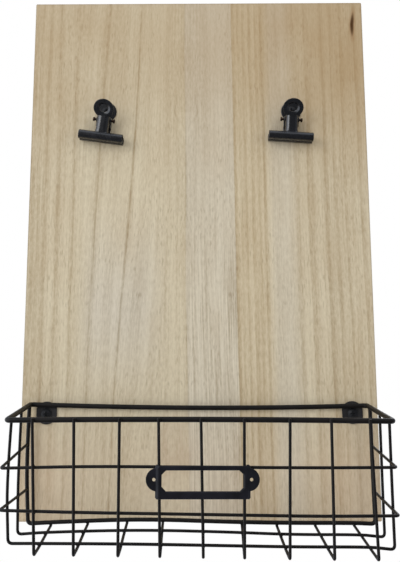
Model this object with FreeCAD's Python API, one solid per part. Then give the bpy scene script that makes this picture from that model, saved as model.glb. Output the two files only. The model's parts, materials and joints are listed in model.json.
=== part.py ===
import FreeCAD, Part
import math
import os

from FreeCAD import Placement, Rotation, Vector

# Wall-hung memo board: a plain wooden board with two sprung paper clips on screws, a wire basket
# with a label holder across its foot, and two keyhole plates let into its back to hang it by.
# Lengths are millimetres and angles degrees. X runs to the right, Y from the viewer into the wall,
# and Z up. The origin is the middle of the board's back face, which lies on the wall.

# Board
board_width = 243.0
board_height = 366.0
board_thickness = 12.0
board_arris = 1.0

# Screws: pan heads for the clips and the basket, countersunk ones for the keyhole plates
pan_head_radius = 3.4
pan_head_height = 2.2
pan_head_edge = 0.7
pan_shank_radius = 1.75
countersunk_head_radius = 3.0
countersunk_shank_radius = 1.5
screw_tip_length = 2.5
screw_tip_radius = 0.2
screw_cover = 2.5
cross_length = 3.6
cross_width = 0.8
cross_depth = 1.2
screw_clearance = 0.15
thread_clearance = 0.02

# Keyhole plates in the back of the board
keyhole_from_edge = 46.5
keyhole_below_top = 32.0
keyhole_plate_width = 16.0
keyhole_plate_thickness = 1.5
keyhole_entry_radius = 4.5
keyhole_neck_radius = 2.25
keyhole_travel = 10.0
keyhole_land = 3.35
keyhole_screw_from_end = 5.0
keyhole_pocket_margin = 1.5
keyhole_pocket_depth = 7.0
keyhole_recess_clearance = 0.2
keyhole_flush_depth = 0.2

# Clips, each pressed from two pieces of sheet on a pivot pin
clip_from_edge = 54.4
clip_below_top = 84.0
clip_tilts = {"left": 7.8, "right": 3.8}
clip_sheet = 0.8
clip_standoff = 0.15
clip_jaw_length = 31.5
clip_roll_radius = 2.8
clip_roll_slit = 0.6
clip_jaw_gap = 0.2
clip_neck_width = 8.7
clip_neck_round = 2.2
clip_neck_flange = 1.8
clip_tab_radius = 7.0
clip_tab_hole_radius = 3.5
clip_tab_edge = 0.25
clip_tab_to_pivot = 7.6
clip_pivot_to_jaw = 13.3
clip_bend_above_pivot = 3.0
clip_tab_reach = 4.3
clip_splay = 40.0
clip_ear_radius = 2.2
clip_ear_root = 5.0
clip_ear_gap = 0.25
clip_head_gap = 0.1
clip_screw_fit = 0.06
pin_radius = 0.9
pin_overhang = 1.2
pin_end_round = 0.4
pin_running_fit = 0.06
pin_held_fit = 0.02

# Torsion spring round the pivot pin
spring_wire_radius = 0.35
spring_coil_radius = 1.75
spring_pitch = 1.2
spring_whole_turns = 4
spring_leg_lean = 32.0
spring_seat_gap = 0.3

# Basket, bent from round wire and spot welded
basket_right_of_centre = 1.2
basket_top_above_foot = 75.2
basket_height = 74.0
basket_rim_from_edge = 9.1
basket_depth = 70.0
basket_row_pitch = 25.8
rim_wire_radius = 1.6
rim_corner_radius = 4.0
rear_hoop_wire_radius = 1.3
mesh_wire_radius = 0.9
hoop_corner_radius = 5.0
band_corner_radius = 5.0
upright_bend_radius = 2.0
hoop_pitch = 24.3
upright_count = 9
upright_from_rim = 14.4
upright_shift = 1.2
upright_tip = 0.6
weld_gap = 0.03

# Mounting tabs that carry the basket
tab_radius = 7.1
tab_thickness = 1.5
tab_rise = 0.7
tab_corner_radius = 3.0
tab_screw_below_rim = 5.2
tab_screw_from_edge = 17.5

# Label holder on the front of the basket
label_width = 55.4
label_height = 19.2
label_depth = 2.0
label_sheet = 0.8
label_edge_round = 0.7
label_top_above_band = 2.2
label_side_border = 4.4
label_top_border = 3.6
label_bottom_border = 4.6
label_window_chamfer = 3.4
label_ear_radius = 6.4
label_ear_inset = 1.5
label_ear_rise = 1.3
label_ear_hole_radius = 1.1
label_ear_hole_out = 0.5

# Places worked out from the sizes above
sides = {"left": -1, "right": 1}
board_side = board_width / 2
board_top = board_height / 2
keyhole_plate_x = board_side - keyhole_from_edge
keyhole_plate_z = board_top - keyhole_below_top
keyhole_screw_hole_radius = countersunk_head_radius + screw_clearance
keyhole_screw_reach = keyhole_travel / 2 + keyhole_entry_radius + keyhole_land + keyhole_screw_hole_radius
keyhole_plate_half_length = keyhole_screw_reach + keyhole_screw_from_end
clip_screw_x = board_side - clip_from_edge
clip_screw_z = board_top - clip_below_top
pan_bite = board_thickness - screw_cover

pivot_out = clip_standoff + 2 * clip_roll_radius + clip_jaw_gap / 2
rear_sheet_face = clip_standoff + clip_sheet
front_roll_out = pivot_out + clip_jaw_gap / 2 + clip_roll_radius
front_sheet_face = front_roll_out + clip_roll_radius
front_sheet_back = front_sheet_face - clip_sheet
pivot_up = -clip_tab_to_pivot
jaw_up = pivot_up - clip_pivot_to_jaw
bend_up = pivot_up + clip_bend_above_pivot
front_neck_half = clip_neck_width / 2
rear_neck_inner_half = front_neck_half + clip_ear_gap
rear_neck_half = rear_neck_inner_half + clip_sheet

rim_half_width = board_side - basket_rim_from_edge
rim_z = basket_top_above_foot - board_top
floor_z = rim_z - basket_height
rim_rear_out = tab_thickness + rim_wire_radius + weld_gap
rim_front_out = rim_rear_out + basket_depth
hoop_half_width = rim_half_width + rim_wire_radius + mesh_wire_radius + weld_gap
rear_hoop_half_width = rim_half_width + rim_wire_radius + rear_hoop_wire_radius + weld_gap
rear_hoop_out = rim_rear_out + rim_corner_radius
band_half_width = hoop_half_width - 2 * mesh_wire_radius - weld_gap
upright_out = rim_front_out + rim_wire_radius + mesh_wire_radius + weld_gap
band_front_out = upright_out - 2 * mesh_wire_radius - weld_gap
upright_floor_z = floor_z - 2 * mesh_wire_radius - weld_gap
rear_hoop_floor_z = upright_floor_z + mesh_wire_radius + rear_hoop_wire_radius + weld_gap
upright_pitch = 2 * (rim_half_width - upright_from_rim) / (upright_count - 1)
tab_screw_x = board_side - tab_screw_from_edge
tab_screw_z = rim_z - tab_screw_below_rim
label_back_out = upright_out + mesh_wire_radius + weld_gap
label_top_z = rim_z - basket_row_pitch + label_top_above_band


def before_board(x, out, z):
    """The point a distance out in front of the board's face."""
    return Vector(x, -board_thickness - out, z)


def basket_point(across, out, z):
    """The point of the basket a distance across from its middle and out in front of the board."""
    return before_board(basket_right_of_centre + across, out, z)


def clip_point(across, out, up):
    """The point of a clip that isn't yet tilted or placed, from its screw on the board's face."""
    return Vector(across, -out, up)


def prism(corners, sweep):
    """A straight-sided solid with a polygon for its base."""
    return Part.Face(Part.makePolygon(corners + corners[:1])).extrude(sweep)


def rod(start, end, radius):
    axis = end - start
    return Part.makeCylinder(radius, axis.Length, start, axis)


def block(low, high):
    size = high - low
    return Part.makeBox(size.x, size.y, size.z, low)


def fused(first, *others):
    return first.fuse(list(others)).removeSplitter()


def same(first, second):
    """Whether two lengths agree to within a thousandth."""
    return abs(first - second) < 0.001


def edges_at(shape, test):
    """The edges whose middle passes a test."""
    return [edge for edge in shape.Edges if test(edge.CenterOfMass)]


def bent_wire(points, wire_radius, bend_radius):
    """A round wire through the points, with the same bend at each corner."""
    edges = []
    start = points[0]
    for before, corner, after in zip(points, points[1:], points[2:]):
        arrive = (corner - before).normalize()
        leave = (after - corner).normalize()
        half_turn = arrive.getAngle(leave) / 2
        setback = bend_radius * math.tan(half_turn)
        inward = (leave - arrive).normalize()
        arc_middle = corner + inward * (bend_radius / math.cos(half_turn) - bend_radius)
        arc_start = corner - arrive * setback
        arc_end = corner + leave * setback
        edges.append(Part.LineSegment(start, arc_start).toShape())
        edges.append(Part.Arc(arc_start, arc_middle, arc_end).toShape())
        start = arc_end
    edges.append(Part.LineSegment(start, points[-1]).toShape())
    section = Part.Wire(Part.Circle(points[0], points[1] - points[0], wire_radius).toShape())
    return Part.Wire(edges).makePipeShell([section], True, False)


def screw_shank(radius, length, seat):
    """A plain shank that runs from its seat into the wood and ends in a point."""
    straight = length - screw_tip_length
    into = Vector(0, 1, 0)
    tip = Part.makeCone(radius, screw_tip_radius, screw_tip_length, seat + into * straight, into)
    return fused(Part.makeCylinder(radius, straight, seat, into), tip)


def cross_recess(face):
    """The tool that sinks a cross slot into a screw head, from the top of the head."""
    half_long = cross_length / 2
    half_wide = cross_width / 2
    deep = Vector(0, cross_depth, 0)
    level = block(face + Vector(-half_long, 0, -half_wide), face + deep + Vector(half_long, 0, half_wide))
    upright = block(face + Vector(-half_wide, 0, -half_long), face + deep + Vector(half_wide, 0, half_long))
    centre = Part.makeCone(2 * half_wide, half_wide, cross_depth, face, Vector(0, 1, 0))
    return fused(level, upright, centre)


def pan_screw(seat, length):
    """A wood screw with a low domed head that sits on the seat."""
    rim_top = Vector(pan_head_radius, -pan_head_edge, 0)
    crown = Vector(0, -pan_head_height, 0)
    dome_height = pan_head_height - pan_head_edge
    dome_radius = (pan_head_radius ** 2 + dome_height ** 2) / (2 * dome_height)
    half_turn = math.asin(pan_head_radius / dome_radius) / 2
    shoulder = crown + Vector(dome_radius * math.sin(half_turn), dome_radius * (1 - math.cos(half_turn)), 0)
    outline = [
        Part.LineSegment(Vector(), Vector(pan_head_radius, 0, 0)).toShape(),
        Part.LineSegment(Vector(pan_head_radius, 0, 0), rim_top).toShape(),
        Part.Arc(rim_top, shoulder, crown).toShape(),
        Part.LineSegment(crown, Vector()).toShape(),
    ]
    head = Part.Face(Part.Wire(outline)).revolve(Vector(), Vector(0, 1, 0), 360)
    head = head.cut(cross_recess(crown))
    head.translate(seat)
    return fused(head, screw_shank(pan_shank_radius, length, seat))


def countersunk_screw(face, length):
    """A flat-head wood screw that points away from the wall, with its head level with the face."""
    cone_height = countersunk_head_radius - countersunk_shank_radius
    outward = Vector(0, 1, 0)
    head = Part.makeCone(countersunk_shank_radius, countersunk_head_radius, cone_height, Vector(), outward)
    recess = cross_recess(Vector())
    recess.rotate(Vector(), Vector(0, 0, 1), 180)
    recess.translate(outward * cone_height)
    shank = screw_shank(countersunk_shank_radius, length - cone_height, Vector())
    shank.rotate(Vector(), Vector(0, 0, 1), 180)
    screw = fused(head.cut(recess), shank)
    screw.translate(face - outward * cone_height)
    return screw


def stadium(centre, half_width, low, high, depth):
    """A slot-shaped solid that stands on the wall side of its centre and runs up and down."""
    away = Vector(0, -depth, 0)
    bottom = centre + Vector(0, 0, low)
    top = centre + Vector(0, 0, high)
    sideways = Vector(half_width, 0, 0)
    middle = prism([bottom - sideways, bottom + sideways, top + sideways, top - sideways], away)
    ends = [Part.makeCylinder(half_width, depth, end, away) for end in (bottom, top)]
    return fused(middle, *ends)


def keyhole_centre(side):
    return Vector(sides[side] * keyhole_plate_x, 0, keyhole_plate_z)


def keyhole_screw_faces(side):
    face = keyhole_centre(side) - Vector(0, keyhole_flush_depth, 0)
    return [face + Vector(0, 0, step * keyhole_screw_reach) for step in (-1, 1)]


def keyhole_screws():
    length = board_thickness - keyhole_flush_depth - screw_cover
    screws = [countersunk_screw(face, length) for side in sides for face in keyhole_screw_faces(side)]
    return Part.makeCompound(screws)


def keyhole_plate(side):
    """A flat plate with a keyhole: a screw head goes in at the entry and is caught by the neck."""
    face = keyhole_centre(side) - Vector(0, keyhole_flush_depth, 0)
    half_width = keyhole_plate_width / 2
    reach = keyhole_plate_half_length - half_width
    plate = stadium(face, half_width, -reach, reach, keyhole_plate_thickness)
    travel = keyhole_travel / 2
    entry = face - Vector(0, 0, travel)
    through = Vector(0, -keyhole_plate_thickness, 0)
    plate = plate.cut(Part.makeCylinder(keyhole_entry_radius, keyhole_plate_thickness, entry, through))
    plate = plate.cut(stadium(face, keyhole_neck_radius, -travel, travel, keyhole_plate_thickness))
    for seat in keyhole_screw_faces(side):
        narrow = keyhole_screw_hole_radius - keyhole_plate_thickness
        sink = Part.makeCone(keyhole_screw_hole_radius, narrow, keyhole_plate_thickness, seat, through)
        plate = plate.cut(sink)
    return plate


def screw_hole(screw_radius, seat, length, direction):
    """The hole that a screw's shank fills in the board."""
    hole = screw_shank(screw_radius + thread_clearance, length + thread_clearance, Vector())
    if direction < 0:
        hole.rotate(Vector(), Vector(0, 0, 1), 180)
    hole.translate(seat)
    return hole


def board():
    """The wooden board with its edges eased, pockets for the keyhole plates and screw holes."""
    half = Vector(board_width / 2, 0, board_height / 2)
    panel = block(Vector(-half.x, -board_thickness, -half.z), Vector(half.x, 0, half.z))
    panel = panel.makeFillet(board_arris, panel.Edges)
    recess_depth = keyhole_flush_depth + keyhole_plate_thickness
    for side in sides:
        centre = keyhole_centre(side)
        half_width = keyhole_plate_width / 2
        reach = keyhole_plate_half_length - half_width
        recess = stadium(centre, half_width + keyhole_recess_clearance, -reach, reach, recess_depth)
        pocket_half = keyhole_entry_radius + keyhole_pocket_margin
        travel = keyhole_travel / 2
        pocket = stadium(centre, pocket_half, -travel, travel, keyhole_pocket_depth)
        panel = panel.cut([recess, pocket])
        cone_height = countersunk_head_radius - countersunk_shank_radius
        length = board_thickness - keyhole_flush_depth - screw_cover - cone_height
        for face in keyhole_screw_faces(side):
            seat = face - Vector(0, cone_height, 0)
            panel = panel.cut(screw_hole(countersunk_shank_radius, seat, length, -1))
        panel = panel.cut(screw_hole(pan_shank_radius, clip_screw_place(side), pan_bite, 1))
        panel = panel.cut(screw_hole(pan_shank_radius, tab_screw_place(side), pan_bite, 1))
    return panel


def clip_screw_place(side):
    return before_board(sides[side] * clip_screw_x, 0, clip_screw_z)


def placed_clip(shape, side):
    """Turn a clip piece to the clip's tilt and bring it to its screw."""
    turn = Rotation(Vector(0, 1, 0), clip_tilts[side])
    placed = shape.copy()
    placed.Placement = Placement(clip_screw_place(side), turn)
    return placed


def clip_screw(side):
    lift = rear_sheet_face + clip_head_gap
    seat = clip_screw_place(side) - Vector(0, lift, 0)
    return pan_screw(seat, pan_bite + lift)


def rolled_jaw(out):
    """The jaw's edge, rolled into a tube that is open along a slit at its top."""
    half_long = clip_jaw_length / 2
    start = clip_point(-half_long, out, jaw_up)
    end = clip_point(half_long, out, jaw_up)
    tube = rod(start, end, clip_roll_radius).cut(rod(start, end, clip_roll_radius - clip_sheet))
    half_slit = clip_roll_slit / 2
    slit_low = clip_point(-half_long, out + half_slit, jaw_up)
    slit_high = clip_point(half_long, out - half_slit, jaw_up + clip_roll_radius)
    return tube.cut(block(slit_low, slit_high))


def ear_outline(points, half_width):
    """The side view of a neck's ears, as a solid as wide as the neck."""
    corners = [clip_point(-half_width, out, up) for out, up in points]
    sweep = Vector(2 * half_width, 0, 0)
    boss_start = clip_point(-half_width, pivot_out, pivot_up)
    return fused(prism(corners, sweep), rod(boss_start, boss_start + sweep, clip_ear_radius))


def pin_hole(half_width, fit):
    start = clip_point(-half_width, pivot_out, pivot_up)
    return rod(start, clip_point(half_width, pivot_out, pivot_up), pin_radius + fit)


def rear_jaw():
    """The clip's rear half: a flat tab under the screw, ears for the pin and the rolled jaw."""
    tab = rod(clip_point(0, clip_standoff, 0), clip_point(0, rear_sheet_face, 0), clip_tab_radius)
    web = block(
        clip_point(-rear_neck_half, rear_sheet_face, jaw_up),
        clip_point(rear_neck_half, clip_standoff, 0),
    )
    side_view = ear_outline(
        [
            (clip_standoff, pivot_up - clip_ear_root),
            (pivot_out, pivot_up - clip_ear_radius),
            (pivot_out, pivot_up + clip_ear_radius),
            (clip_standoff, pivot_up + clip_ear_radius + clip_sheet),
        ],
        rear_neck_half,
    )
    between = block(
        clip_point(-rear_neck_inner_half, pivot_out + clip_ear_radius, jaw_up),
        clip_point(rear_neck_inner_half, rear_sheet_face, 0),
    )
    jaw = fused(tab, web, side_view.cut(between), rolled_jaw(clip_standoff + clip_roll_radius))
    screw_way = rod(
        clip_point(0, clip_standoff, 0),
        clip_point(0, rear_sheet_face, 0),
        pan_shank_radius + clip_screw_fit,
    )
    return jaw.cut([screw_way, pin_hole(rear_neck_half, pin_held_fit)])


def channel(half_width, back, face, round_radius, low, high):
    """A solid with the rounded outline of the front neck, seen from above."""
    solid = block(clip_point(-half_width, face, low), clip_point(half_width, back, high))
    corners = edges_at(solid, lambda middle: same(middle.y, -face) and same(abs(middle.x), half_width))
    return solid.makeFillet(round_radius, corners)


def front_tab():
    """The thumb tab: a disc with a hole, leaning out from the bend at the top of the neck."""
    lift = Vector(0, 0, clip_tab_reach)
    inward = Vector(0, clip_sheet, 0)
    disc = Part.makeCylinder(clip_tab_radius, clip_sheet, lift, inward)
    disc = disc.cut(Part.makeCylinder(clip_tab_hole_radius, clip_sheet, lift, inward))
    disc = disc.makeFillet(clip_tab_edge, edges_at(disc, lambda middle: not same(middle.y, clip_sheet / 2)))
    below = block(
        Vector(-clip_tab_radius, 0, -clip_tab_radius),
        Vector(clip_tab_radius, clip_sheet, 0),
    )
    tab = disc.cut(below)
    tab.rotate(Vector(), Vector(1, 0, 0), clip_splay)
    tab.translate(clip_point(0, front_sheet_face, bend_up))
    return tab


def front_bend():
    """The outside of the bend between the front neck and its tab."""
    start = clip_point(-front_neck_half, front_sheet_face, bend_up)
    knuckle = Part.makeCylinder(clip_sheet, clip_neck_width, Vector(), Vector(0, 0, 1), clip_splay)
    knuckle.rotate(Vector(), Vector(0, 1, 0), 90)
    knuckle.rotate(Vector(), Vector(1, 0, 0), 90)
    knuckle.translate(start)
    return knuckle


def front_jaw():
    """The clip's front half, which swings on the pin."""
    inner_half = front_neck_half - clip_sheet
    inner_round = clip_neck_round - clip_sheet
    ear_back = pivot_out - clip_ear_radius
    flange_back = front_sheet_face - clip_neck_flange
    outer = channel(front_neck_half, ear_back, front_sheet_face, clip_neck_round, jaw_up, bend_up)
    inner = channel(inner_half, ear_back, front_sheet_back, inner_round, jaw_up, bend_up)
    side_view = ear_outline(
        [
            (front_sheet_face, jaw_up),
            (front_sheet_face, bend_up),
            (flange_back, bend_up),
            (pivot_out, pivot_up + clip_ear_radius),
            (pivot_out, pivot_up - clip_ear_radius),
            (flange_back, pivot_up - clip_ear_root),
            (flange_back, jaw_up),
        ],
        front_neck_half,
    )
    neck = outer.cut(inner).common(side_view)
    bore = rod(
        clip_point(-front_neck_half, front_roll_out, jaw_up),
        clip_point(front_neck_half, front_roll_out, jaw_up),
        clip_roll_radius - clip_sheet,
    )
    jaw = fused(neck.cut(bore), front_bend(), front_tab(), rolled_jaw(front_roll_out))
    return jaw.cut(pin_hole(front_neck_half, pin_running_fit))


def pivot_pin():
    half_long = rear_neck_half + pin_overhang
    start = clip_point(-half_long, pivot_out, pivot_up)
    pin = rod(start, clip_point(half_long, pivot_out, pivot_up), pin_radius)
    return pin.makeFillet(pin_end_round, edges_at(pin, lambda middle: same(abs(middle.x), half_long)))


def spring_place(angle):
    """The point and heading of the spring's coil at an angle round the pin, in radians."""
    rise = spring_pitch / (2 * math.pi)
    point = Vector(
        rise * angle,
        -pivot_out - spring_coil_radius * math.cos(angle),
        pivot_up + spring_coil_radius * math.sin(angle),
    )
    heading = Vector(rise, spring_coil_radius * math.sin(angle), spring_coil_radius * math.cos(angle))
    return point, heading.normalize()


def arc_between(start, heading, end):
    """The arc that leaves its start along a heading and comes to its end."""
    chord = end - start
    lean = heading.getAngle(chord)
    bulge = heading - chord * (heading.dot(chord) / chord.dot(chord))
    middle = start + chord / 2 + bulge.normalize() * (chord.Length / 2 * math.tan(lean / 2))
    return Part.Arc(start, middle, end).toShape()


def biarc(first, second):
    """Two tangent arcs from one point and heading to another."""
    start, leave = first
    end, arrive = second
    span = end - start
    along = span.dot(leave + arrive)
    square = 2 * (1 - leave.dot(arrive))
    reach = (math.sqrt(along ** 2 + square * span.dot(span)) - along) / square
    joint = (start + leave * reach + end - arrive * reach) / 2
    back = arc_between(end, arrive * -1, joint)
    back.reverse()
    return [arc_between(start, leave, joint), back]


def spring_gap(start_angle, end_angle):
    """The least gap between one turn of the spring and the next, measured on points."""
    steps_per_turn = 48
    turns = (end_angle - start_angle) / (2 * math.pi)
    count = int(turns * steps_per_turn)
    points = [
        spring_place(start_angle + 2 * math.pi * step / steps_per_turn)[0] for step in range(count + 1)
    ]
    half_turn = steps_per_turn // 2
    nearest = min(
        (points[late] - points[early]).Length
        for early in range(count + 1)
        for late in range(early + half_turn, count + 1)
    )
    return nearest - 2 * spring_wire_radius


def torsion_spring():
    """A coil round the pin whose two legs push the front and rear sheets apart above it."""
    lean = math.radians(spring_leg_lean)
    whole = 2 * math.pi * spring_whole_turns
    start_angle = math.pi + lean - whole / 2
    end_angle = whole / 2 - lean
    quarters = math.ceil((end_angle - start_angle) / (math.pi / 2))
    step = (end_angle - start_angle) / quarters
    places = [spring_place(start_angle + step * index) for index in range(quarters + 1)]
    half_room = (front_sheet_back - rear_sheet_face) / 2
    reach_out = half_room - spring_wire_radius - spring_seat_gap - spring_coil_radius * math.cos(lean)
    leg = reach_out / math.sin(lean)
    first_point, first_heading = places[0]
    last_point, last_heading = places[-1]
    leg_start = first_point - first_heading * leg
    leg_end = last_point + last_heading * leg
    edges = [Part.LineSegment(leg_start, first_point).toShape()]
    for first, second in zip(places, places[1:]):
        edges.extend(biarc(first, second))
    edges.append(Part.LineSegment(last_point, leg_end).toShape())
    section = Part.Wire(Part.Circle(leg_start, first_heading, spring_wire_radius).toShape())
    spring = Part.Wire(edges).makePipeShell([section], True, False)
    length = sum(edge.Length for edge in edges)
    share = spring.Volume / (math.pi * spring_wire_radius ** 2 * length)
    print(f"spring: least gap {spring_gap(start_angle, end_angle):.2f} mm, volume share {share:.3f}")
    return spring


def basket_rim():
    """The thick closed loop round the basket's mouth."""
    half = rim_half_width
    middle = basket_point(0, rim_rear_out, rim_z)
    return bent_wire(
        [
            middle,
            basket_point(half, rim_rear_out, rim_z),
            basket_point(half, rim_front_out, rim_z),
            basket_point(-half, rim_front_out, rim_z),
            basket_point(-half, rim_rear_out, rim_z),
            middle,
        ],
        rim_wire_radius,
        rim_corner_radius,
    )


def hoop(out, half_width, bottom_z, wire_radius):
    """A wire that runs down one side of the basket, across its floor and up the other side."""
    return bent_wire(
        [
            basket_point(-half_width, out, rim_z),
            basket_point(-half_width, out, bottom_z),
            basket_point(half_width, out, bottom_z),
            basket_point(half_width, out, rim_z),
        ],
        wire_radius,
        hoop_corner_radius,
    )


def band(row):
    """A level wire round the basket's sides and front, so many rows below the rim."""
    z = rim_z - row * basket_row_pitch
    return bent_wire(
        [
            basket_point(-band_half_width, rear_hoop_out, z),
            basket_point(-band_half_width, band_front_out, z),
            basket_point(band_half_width, band_front_out, z),
            basket_point(band_half_width, rear_hoop_out, z),
        ],
        mesh_wire_radius,
        band_corner_radius,
    )


def upright_x(index):
    return upright_shift + (index - (upright_count - 1) / 2) * upright_pitch


def upright(index):
    """A wire down the basket's front that turns back along its floor to the rear hoop."""
    x = upright_x(index)
    return bent_wire(
        [
            basket_point(x, upright_out, rim_z + rim_wire_radius + upright_tip),
            basket_point(x, upright_out, upright_floor_z),
            basket_point(x, rear_hoop_out - rear_hoop_wire_radius, upright_floor_z),
        ],
        mesh_wire_radius,
        upright_bend_radius,
    )


def tab_screw_place(side):
    return before_board(sides[side] * tab_screw_x, 0, tab_screw_z)


def basket_tab(side):
    """A flat tab behind the rim, round at the bottom, that is screwed to the board."""
    place = tab_screw_place(side)
    forward = Vector(0, -tab_thickness, 0)
    top = tab_screw_below_rim + rim_wire_radius + tab_rise
    plate = block(
        place + Vector(-tab_radius, -tab_thickness, 0),
        place + Vector(tab_radius, 0, top),
    )
    top_corners = edges_at(
        plate,
        lambda middle: same(abs(middle.x - place.x), tab_radius) and same(middle.z, place.z + top),
    )
    plate = plate.makeFillet(tab_corner_radius, top_corners)
    plate = fused(plate, Part.makeCylinder(tab_radius, tab_thickness, place, forward))
    hole_radius = pan_shank_radius + screw_clearance
    return plate.cut(Part.makeCylinder(hole_radius, tab_thickness, place, forward))


def basket_screws():
    lift = Vector(0, -tab_thickness, 0)
    return Part.makeCompound(
        [pan_screw(tab_screw_place(side) + lift, pan_bite + tab_thickness) for side in sides]
    )


def label_holder():
    """A pressed frame with an open top for a card, and an ear with a hole at each end."""
    centre = basket_point(upright_shift, label_back_out, label_top_z - label_height / 2)
    half_wide = label_width / 2
    half_high = label_height / 2
    forward = Vector(0, -label_depth, 0)
    body = block(
        centre + Vector(-half_wide, -label_depth, -half_high),
        centre + Vector(half_wide, 0, half_high),
    )
    face_y = centre.y - label_depth
    front_edges = edges_at(
        body, lambda middle: same(middle.y, face_y) and not same(middle.z, centre.z + half_high)
    )
    body = body.makeFillet(label_edge_round, front_edges)
    ears = []
    ear_holes = []
    for direction in sides.values():
        rise = Vector(0, 0, label_ear_rise)
        sheet = Vector(0, -label_sheet, 0)
        ear_centre = centre + rise + Vector(direction * (half_wide - label_ear_inset), 0, 0)
        hole_centre = centre + rise + Vector(direction * (half_wide + label_ear_hole_out), 0, 0)
        ears.append(Part.makeCylinder(label_ear_radius, label_sheet, ear_centre, sheet))
        ear_holes.append(Part.makeCylinder(label_ear_hole_radius, label_sheet, hole_centre, sheet))
    card_room = block(
        centre + Vector(-half_wide + label_sheet, -label_depth + label_sheet, -half_high + label_sheet),
        centre + Vector(half_wide - label_sheet, 0, half_high),
    )
    window_half = half_wide - label_side_border
    high = half_high - label_top_border
    low = label_bottom_border - half_high
    chamfer = label_window_chamfer
    window = prism(
        [
            centre + Vector(across, 0, up)
            for across, up in (
                (-window_half, low + chamfer),
                (-window_half + chamfer, low),
                (window_half - chamfer, low),
                (window_half, low + chamfer),
                (window_half, high - chamfer),
                (window_half - chamfer, high),
                (-window_half + chamfer, high),
                (-window_half, high - chamfer),
            )
        ],
        forward,
    )
    return fused(body, *ears).cut([card_room, window] + ear_holes)


def all_pieces():
    """Every piece of the memo board by its name."""
    pieces = {"board": board(), "keyhole_plate_screws": keyhole_screws()}
    clip_pieces = {
        "rear_jaw": rear_jaw(),
        "front_jaw": front_jaw(),
        "pivot_pin": pivot_pin(),
        "spring": torsion_spring(),
    }
    for side in sides:
        pieces[f"{side}_keyhole_plate"] = keyhole_plate(side)
        pieces[f"{side}_clip_screw"] = clip_screw(side)
        for name, shape in clip_pieces.items():
            pieces[f"{side}_clip_{name}"] = placed_clip(shape, side)
        pieces[f"basket_{side}_tab"] = basket_tab(side)
    pieces["basket_screws"] = basket_screws()
    pieces["basket_rim"] = basket_rim()
    pieces["basket_rear_hoop"] = hoop(
        rear_hoop_out, rear_hoop_half_width, rear_hoop_floor_z, rear_hoop_wire_radius
    )
    for step, name in enumerate(("middle", "front"), start=1):
        out = rear_hoop_out + step * hoop_pitch
        pieces[f"basket_{name}_hoop"] = hoop(out, hoop_half_width, floor_z, mesh_wire_radius)
    for row, name in enumerate(("upper", "lower"), start=1):
        pieces[f"basket_{name}_band"] = band(row)
    for index in range(upright_count):
        pieces[f"basket_upright_{index + 1}"] = upright(index)
    pieces["label_holder"] = label_holder()
    return pieces


def export_pieces(pieces):
    """Write one file per piece, after looking at each solid."""
    os.makedirs("parts", exist_ok=True)
    for name, shape in pieces.items():
        solids = shape.Solids
        sound = all(solid.isValid() for solid in solids)
        print(f"{name}: {len(solids)} solid, {shape.Volume:.1f} mm3, valid {sound}")
        kept = solids[0] if len(solids) == 1 else Part.makeCompound(solids)
        kept.exportStep(f"parts/{name}.step")


export_pieces(all_pieces())
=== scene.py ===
# %% [markdown]
# # A wall memo board with two clips and a wire basket
# The object is a plank of pale wood that hangs on a wall. Two small sprung clips are screwed to it, and a
# black wire basket with a label holder is screwed across its foot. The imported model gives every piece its
# size and place, so this script loads it first and then works on the looks, one piece at a time.

# %% Load the frame
import json
import math

import bmesh
import bpy
from mathutils import Matrix, Vector


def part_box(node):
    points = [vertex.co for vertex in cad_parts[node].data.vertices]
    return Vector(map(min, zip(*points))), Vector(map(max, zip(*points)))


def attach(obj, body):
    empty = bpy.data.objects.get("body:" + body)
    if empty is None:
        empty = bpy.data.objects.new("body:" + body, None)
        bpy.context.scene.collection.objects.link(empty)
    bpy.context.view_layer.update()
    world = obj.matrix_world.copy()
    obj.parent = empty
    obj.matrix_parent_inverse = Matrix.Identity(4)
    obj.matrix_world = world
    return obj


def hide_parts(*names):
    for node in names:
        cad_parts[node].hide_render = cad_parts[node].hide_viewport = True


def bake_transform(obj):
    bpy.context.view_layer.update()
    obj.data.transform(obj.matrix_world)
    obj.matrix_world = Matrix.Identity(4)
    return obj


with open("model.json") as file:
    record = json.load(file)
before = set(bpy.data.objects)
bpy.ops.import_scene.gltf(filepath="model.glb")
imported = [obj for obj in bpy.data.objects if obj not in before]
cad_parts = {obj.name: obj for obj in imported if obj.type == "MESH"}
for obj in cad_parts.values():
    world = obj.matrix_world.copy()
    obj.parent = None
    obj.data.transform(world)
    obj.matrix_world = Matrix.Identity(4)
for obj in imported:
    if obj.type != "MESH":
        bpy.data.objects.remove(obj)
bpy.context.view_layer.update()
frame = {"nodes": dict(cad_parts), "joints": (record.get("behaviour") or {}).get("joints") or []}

mm = 0.001
nodes = frame["nodes"]
joints = {joint["name"]: joint for joint in frame["joints"]}
board_low, board_high = (Vector(corner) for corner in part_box("board"))
board_face = board_low.y


def corners_of(name):
    """The lowest and highest corner of a CAD node in millimetres."""
    return [Vector(corner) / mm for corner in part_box(name)]


# %% [markdown]
# ## Camera
# The photograph looks slightly upwards at the board from a little below its middle. The verticals spread
# towards the foot, which only happens close by, so the camera stands about half a metre away. The frame is
# then moved down with a small lens shift, as a photographer does with a crop.

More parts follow.
